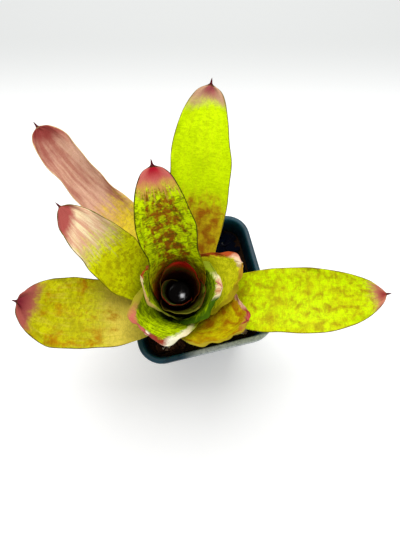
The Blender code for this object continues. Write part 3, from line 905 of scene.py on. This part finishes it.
def chip_pattern(number, length, width, thick):
    """One rough chip of about this size, with an attribute for its tone."""
    bpy.ops.object.select_all(action="DESELECT")
    bpy.ops.mesh.primitive_cube_add(size=1)
    chip = bpy.context.object
    bpy.ops.object.mode_set(mode="EDIT")
    bpy.ops.mesh.subdivide(number_cuts=CHIP_CUTS, fractal=1.1, seed=number)
    bpy.ops.mesh.select_all(action="SELECT")
    resize(length, width, thick)
    bpy.ops.object.mode_set(mode="OBJECT")
    chip.data.attributes.new("tone", "FLOAT", "POINT")
    return chip


patterns = [
    chip_pattern(3, 9 * MM, 5 * MM, 2.4 * MM), chip_pattern(5, 7 * MM, 5.5 * MM, 2.8 * MM),
    chip_pattern(8, 11 * MM, 4 * MM, 2.2 * MM), chip_pattern(13, 6 * MM, 4.5 * MM, 3 * MM),
    chip_pattern(21, 8 * MM, 6 * MM, 2 * MM), chip_pattern(34, 5 * MM, 3.5 * MM, 2.4 * MM),
]
print("bark patterns:", len(patterns), "with", len(patterns[0].data.polygons), "faces each")

# %% [markdown]
# A chip may not reach through the pot's wall or into the stem, so each throw of the dice
# is tried first and dropped if it does. The grit is the smallest chip again, strewn
# smaller still and a little higher.

# %% Strew the bark
MIX_HALF, MIX_CORNER = 39.4 * MM, 11.7 * MM
STEM_ROOM = 14.5 * MM
CHIP_TILT = math.radians(28)


def in_pot(x, y, reach):
    """Whether a chip that reaches this far from its middle stays off the wall."""
    corner = MIX_HALF - MIX_CORNER
    past = math.hypot(max(abs(x) - corner, 0), max(abs(y) - corner, 0))
    return past < MIX_CORNER - reach


def strew(name, patterns, count, low, high, scale):
    """Copies of the patterns all over the mix, joined as one piece."""
    copies = []
    while len(copies) < count:
        x, y = (dice.uniform(-MIX_HALF, MIX_HALF) for _ in range(2))
        pattern = dice.choice(patterns)
        size = dice.uniform(*scale)
        reach = size * math.hypot(pattern.dimensions.x, pattern.dimensions.y) / 2
        by_stem = math.hypot(x - PLANT_CENTRE[0], y - PLANT_CENTRE[1]) < STEM_ROOM
        if by_stem or not in_pot(x, y, reach):
            continue
        copy = bpy.data.objects.new(name, pattern.data.copy())
        bpy.context.collection.objects.link(copy)
        copy.location = (x, y, dice.uniform(low, high))
        copy.rotation_euler = (
            dice.uniform(-CHIP_TILT, CHIP_TILT), dice.uniform(-CHIP_TILT, CHIP_TILT),
            dice.uniform(0, math.tau),
        )
        copy.scale = [size] * 3
        tone = dice.uniform(0, 1)
        copy.data.attributes["tone"].data.foreach_set("value", [tone] * len(copy.data.vertices))
        copies.append(copy)
    bpy.ops.object.select_all(action="DESELECT")
    for copy in copies:
        copy.select_set(True)
    bpy.context.view_layer.objects.active = copies[0]
    bpy.ops.object.join()
    bpy.ops.object.transform_apply(location=True, rotation=True, scale=True)
    joined = bpy.context.object
    joined.name = joined.data.name = name
    return joined


bark = strew("bark_layer", patterns, 420, 65.0 * MM, 68.5 * MM, (0.7, 1.15))
grit = strew("white_grit", patterns[-1:], 46, 67.5 * MM, 69.5 * MM, (0.3, 0.6))
for pattern in patterns:
    bpy.data.objects.remove(pattern)
print("bark faces:", len(bark.data.polygons))

# %% [markdown]
# The body of the mix fills the shell up to the bark. It is drawn like the shell, from its
# top outline down to the floor, a hair smaller than the walls all round.

# %% Body of the mix
MIX_SURFACE = 66 * MM
WALL_GAP = GAP * MM
soil_body = rounded_square("mix_body", MIX_HALF, MIX_CORNER, MIX_SURFACE)
pull("FACE", (0, 0, POT_FLOOR + WALL_GAP - MIX_SURFACE))
bottom = (FOOT_HALF - POT_WALL - WALL_GAP) / MIX_HALF
resize(bottom, bottom, 1)
close_up()
print("mix, mm deep:", round(soil_body.dimensions.z / MM, 1))

# %% [markdown]
# Bark is a warm brown with darker fibres, and each chip reads its own tone. Towards the
# back, under the leaves, bark and grit are painted in deep shade, nearly black.

# %% Bark, grit and mix finishes
def painted_back_shade(paint, where, body):
    """The colour, with painted shade, a navy black, laid over it towards the back of the pot."""
    # Painted shade: nearly black navy, growing towards the back, where the leaves shade the mix.
    back_shade = paint.fade(paint.add("SeparateXYZ", where).outputs[1], -20 * MM, 4 * MM, 0, 0.97)
    return paint.mix(back_shade, body, tint("000614"))


paint = Paint("bark_finish", 0.9, 0.02)
where = paint.place()
tone = paint.add("Attribute", attribute_name="tone").outputs["Fac"]
body = paint.mix(paint.fade(tone, 0.1, 0.75), tint("20130f"), tint("5a3a2c"))
body = paint.mix(paint.fade(tone, 0.86, 1.0), body, tint("a88a78"))
fibre = paint.noise(where, 500, 4, 0.7, 1.0)
body = paint.mix(paint.fade(fibre, 0.35, 0.7, 0, 0.6), body, tint("1a0e0a"))
paint.colour(painted_back_shade(paint, where, body))
paint.bump(fibre, 0.6, 0.4 * MM)
bark.data.materials.append(paint.material)

paint = Paint("grit_finish", 0.85)
where = paint.place()
body = paint.mix(paint.noise(where, 900, 3), tint("efe9dc"), tint("b5a898"))
paint.colour(painted_back_shade(paint, where, body))
paint.bump(paint.noise(where, 1500, 2), 0.5, 0.2 * MM)
grit.data.materials.append(paint.material)

paint = Paint("mix_finish", 0.95, 0.02)
where = paint.place()
crumbs = paint.cells(where, 420)
paint.colour(paint.mix(paint.noise(where, 300, 4, 0.7), tint("120b08"), tint("3a271c")))
paint.bump(crumbs, 0.8, 1.0 * MM)
soil_body.data.materials.append(paint.material)

CHIP_NODES = [f"bark_chip_{number}" for number in range(1, 11)]
for piece, slot, nodes in ((bark, "bark", CHIP_NODES), (grit, "bark", []),
                           (soil_body, "growing_mix", ["growing_mix"])):
    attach(piece, "root")
    if nodes:
        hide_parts(*nodes)
    print(piece.name, "faces:", len(piece.data.polygons))

# %% [markdown]
# ## Stem
#
# The stem hardly shows between the sheaths. It keeps the frame's solid and gets a fibrous
# brown, with the fibres drawn out along it.

# %% Stem finish
paint = Paint("stem_fibre", 0.75)
where = paint.place((1, 1, 0.15))
fibre = paint.noise(where, 900, 3, 0.6)
paint.colour(paint.mix(fibre, tint("4a3520"), tint("8a6c42")))
paint.bump(fibre, 0.6, 0.3 * MM)
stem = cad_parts["stem"]
stem.data.materials.clear()
stem.data.materials.append(paint.material)
print("stem finish:", paint.material.name)

# %% [markdown]
# ## Tank water
#
# The heart of the rosette holds rain water. Its near-black colour is painted shade, deep
# down in the tank. Its skin climbs a little where it meets the leaves and is flat in the
# middle, so the top of a cylinder is inset in steps, each of which sinks less than the
# last. It is smooth and reflects very little, so that only a lamp shows in it.

# %% Tank water
WATER_RADIUS, WATER_TOP, WATER_DEPTH = 6.9 * MM, 100 * MM, 5 * MM
SKIN_STEPS = ((0.25, 0.28), (0.35, 0.14), (0.6, 0.06), (0.3, 0), (0.3, 0))  # in and down, mm
bpy.ops.object.select_all(action="DESELECT")
bpy.ops.mesh.primitive_cylinder_add(
    vertices=64, radius=WATER_RADIUS, depth=WATER_DEPTH,
    location=(*PLANT_CENTRE, WATER_TOP - WATER_DEPTH / 2),
)
water = bpy.context.object
water.name = water.data.name = "tank_water"
bpy.ops.object.transform_apply(location=True)
bpy.ops.object.mode_set(mode="EDIT")
pick("FACE", lambda face: face.normal.z > 0.9)
for inset, drop in SKIN_STEPS:
    bpy.ops.mesh.inset(thickness=inset * MM)
    bpy.ops.transform.translate(value=(0, 0, -drop * MM))
bpy.ops.object.mode_set(mode="OBJECT")
bpy.ops.object.shade_smooth_by_angle(angle=math.radians(60))
# The water's near-black colour is painted shade.
paint = Paint("shaded_tank_water", 0.035, 0.004)
where = paint.place()
paint.colour(paint.mix(paint.noise(where, 300, 3), tint("020202"), tint("080503")))
water.data.materials.append(paint.material)
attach(water, "root")
print("water faces:", len(water.data.polygons))

# %% [markdown]
# ## Stage
#
# A white table top, which turns to a pale grey some way behind the plant. It glows a
# little, so that the plant's own shadow stays soft.

# %% Table
TABLE_SIZE = 6
GREY_FROM, GREY_FULL = 100 * MM, 300 * MM  # behind the origin, along the way the camera faces
scene = bpy.context.scene
scene.view_settings.view_transform = "Standard"
bpy.ops.object.select_all(action="DESELECT")
bpy.ops.mesh.primitive_plane_add(size=TABLE_SIZE, location=(0, 0, 0))
table = bpy.context.object
table.name = "table_top"
paint = Paint("table_white", 0.8, 0.1)
spot = paint.add("TexCoord").outputs["Object"]
turned = paint.add("Mapping", spot, (0, 0, 0), (0, 0, -CAMERA_TURN))
back = paint.add("SeparateXYZ", turned.outputs[0]).outputs[1]
far = paint.fade(back, GREY_FROM, GREY_FULL)
paint.colour(paint.mix(far, (0.93, 0.93, 0.93), (0.45, 0.46, 0.455)))
paint.shader.inputs["Emission Color"].default_value = (1, 1, 1, 1)
paint.shader.inputs["Emission Strength"].default_value = 0.2
table.data.materials.append(paint.material)
print("table, m:", TABLE_SIZE)

# %% [markdown]
# The world gives most of the light, as a bright room does. One large lamp above and
# behind gives the leaves their shading. A second one, small and very weak, stands where
# the water mirrors it towards the camera, and so makes the glint in the tank.

# %% Light
ROOM_LIGHT = 0.62
WINDOW = dict(place=(0.12, 0.5, 0.9), aim=(0, 0, 0.1), size=0.9, energy=9)
GLINT_OFFSET, GLINT_AWAY = (1.6, -2.4, 0), 0.6  # mm from the tank's centre; metres to the lamp
GLINT_SIZE, GLINT_ENERGY, GLINT_SPREAD = 8 * MM, 0.00015, math.radians(4)
world = scene.world or bpy.data.worlds.new("room")
scene.world = world
world.use_nodes = True
sky = world.node_tree.nodes["Background"]
sky.inputs["Color"].default_value = (1, 1, 1, 1)
sky.inputs["Strength"].default_value = ROOM_LIGHT


def lamp(place, aim, size, energy):
    """A square soft lamp turned towards a point."""
    turn = (Vector(aim) - Vector(place)).to_track_quat("-Z", "Y").to_euler()
    bpy.ops.object.light_add(type="AREA", location=place, rotation=turn)
    light = bpy.context.object
    light.data.size = size
    light.data.energy = energy
    return light


lamp(**WINDOW)
glint_spot = Vector((*PLANT_CENTRE, WATER_TOP)) + Vector(GLINT_OFFSET) * MM
ray = (Vector(CAMERA_PLACE) - glint_spot).normalized()
mirrored = Vector((-ray.x, -ray.y, ray.z))
glint = lamp(glint_spot + mirrored * GLINT_AWAY, glint_spot, GLINT_SIZE, GLINT_ENERGY)
glint.data.spread = GLINT_SPREAD

# %% [markdown]
